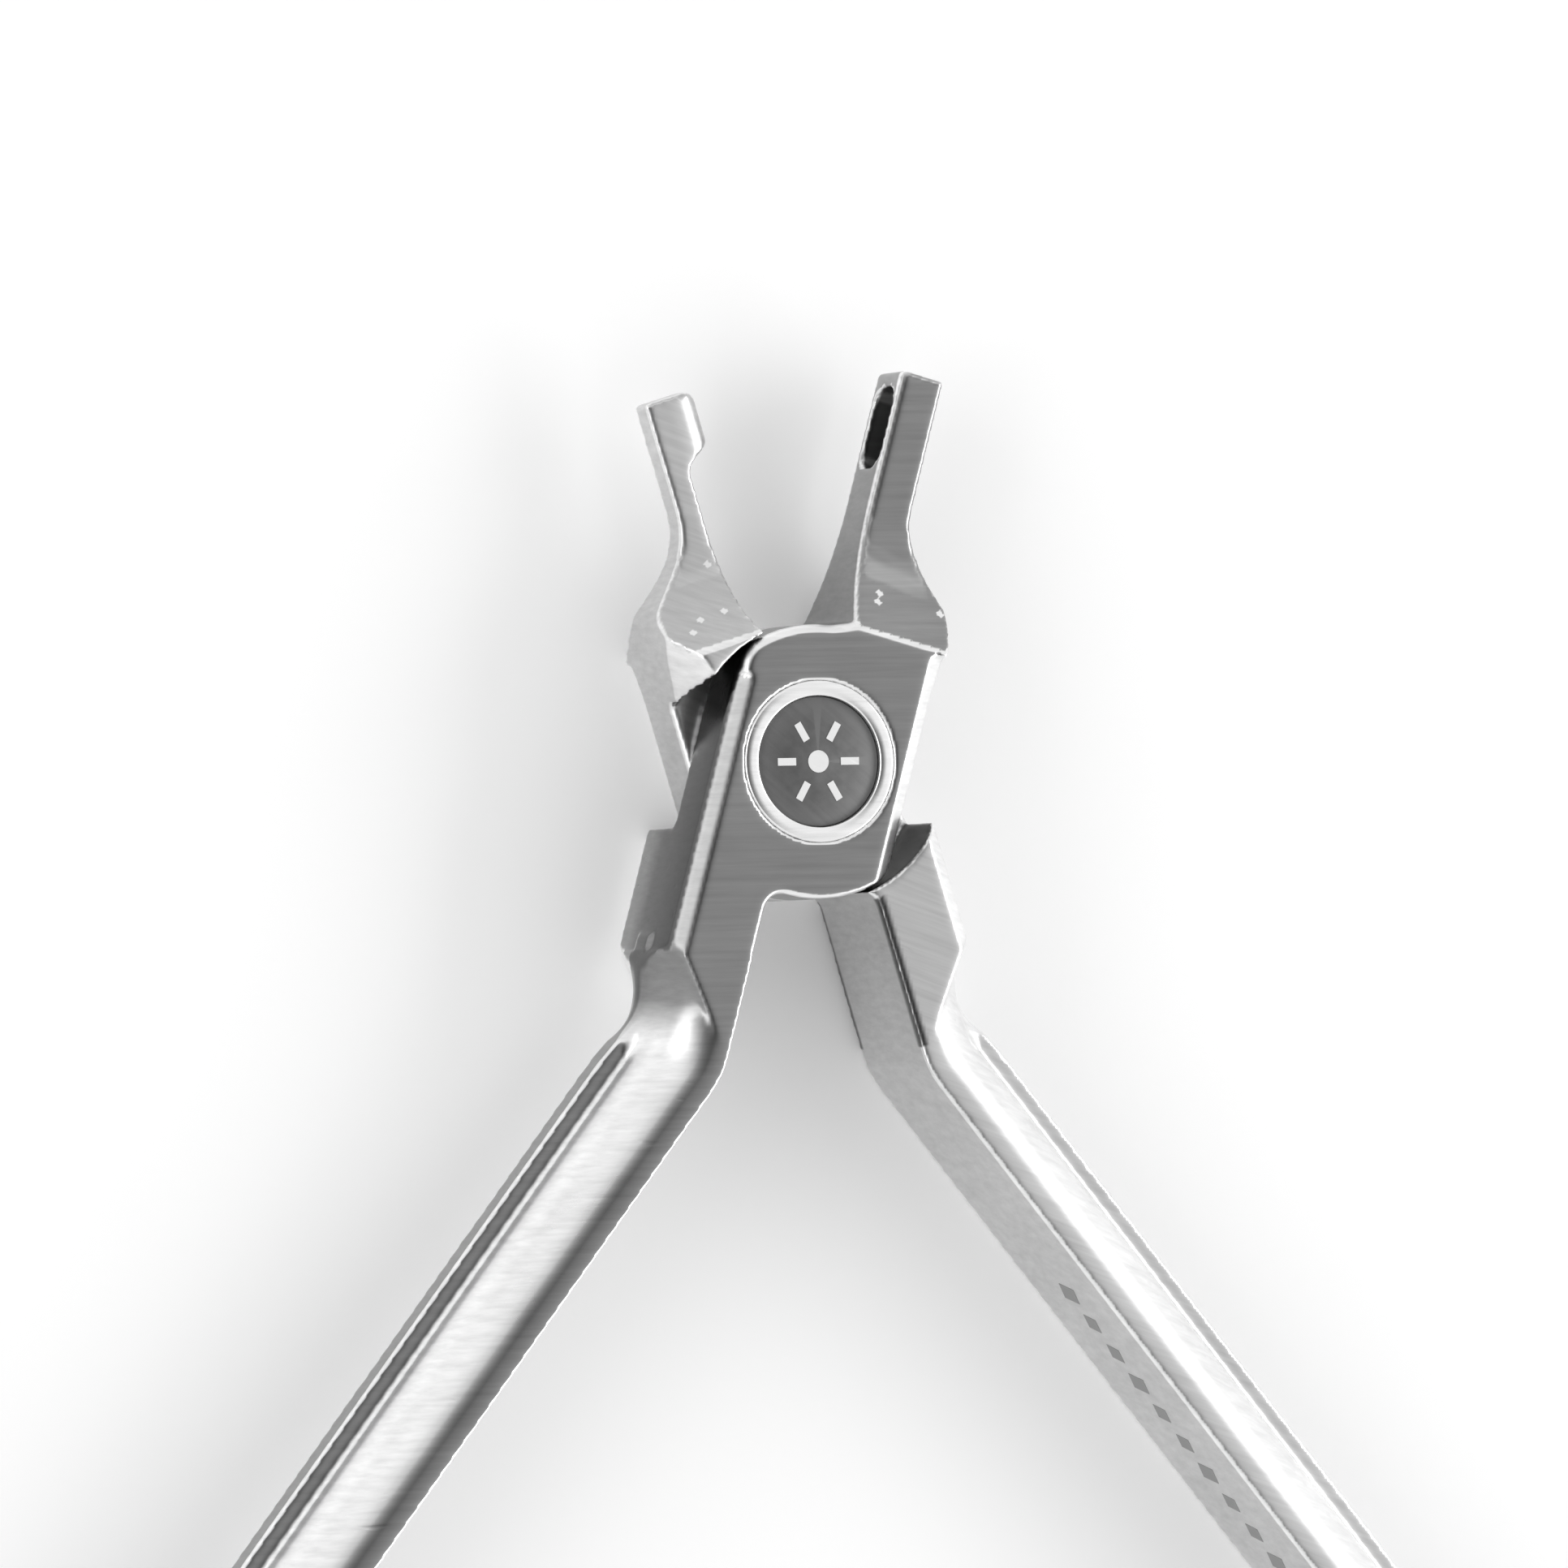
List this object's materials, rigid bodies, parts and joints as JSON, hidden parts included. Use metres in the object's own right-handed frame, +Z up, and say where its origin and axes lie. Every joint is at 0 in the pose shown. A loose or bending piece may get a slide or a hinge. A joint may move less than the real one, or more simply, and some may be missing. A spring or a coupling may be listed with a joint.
{
  "type": "crimping pliers",
  "caption": "Small steel lap-joint crimping pliers: one jaw has a slotted die, the other a rounded punch, with long bowed handles.",
  "frame": {"origin": "on the pivot's axis, in the plane that the pliers lie on", "axes": "+Z up out of the front face along the pivot, +Y along the tool towards the jaws, +X towards the die jaw's side"},
  "size_m": [0.1184, 0.1195, 0.0088],
  "materials": {
    "satin_steel": "satin, fine scratches across the faces",
    "bright_steel": "satin, a little brighter than the other arm",
    "polished_ring": "polished",
    "screw_steel": "turned",
    "grey_cap": "matt grey with a bright engraved mark"
  },
  "bodies": {
    "back_half": {"back_arm": "bright_steel", "pivot_screw": "screw_steel", "pivot_cap": "grey_cap"},
    "front_half": {"front_arm": "satin_steel", "pivot_bush": "polished_ring"}
  },
  "joints": [
    {"name": "pivot", "type": "hinge", "parent": "back_half", "child": "front_half", "pos_m": [0, 0, 0], "axis": [0, 0, 1], "range_deg": [-42, 33.2]}
  ]
}
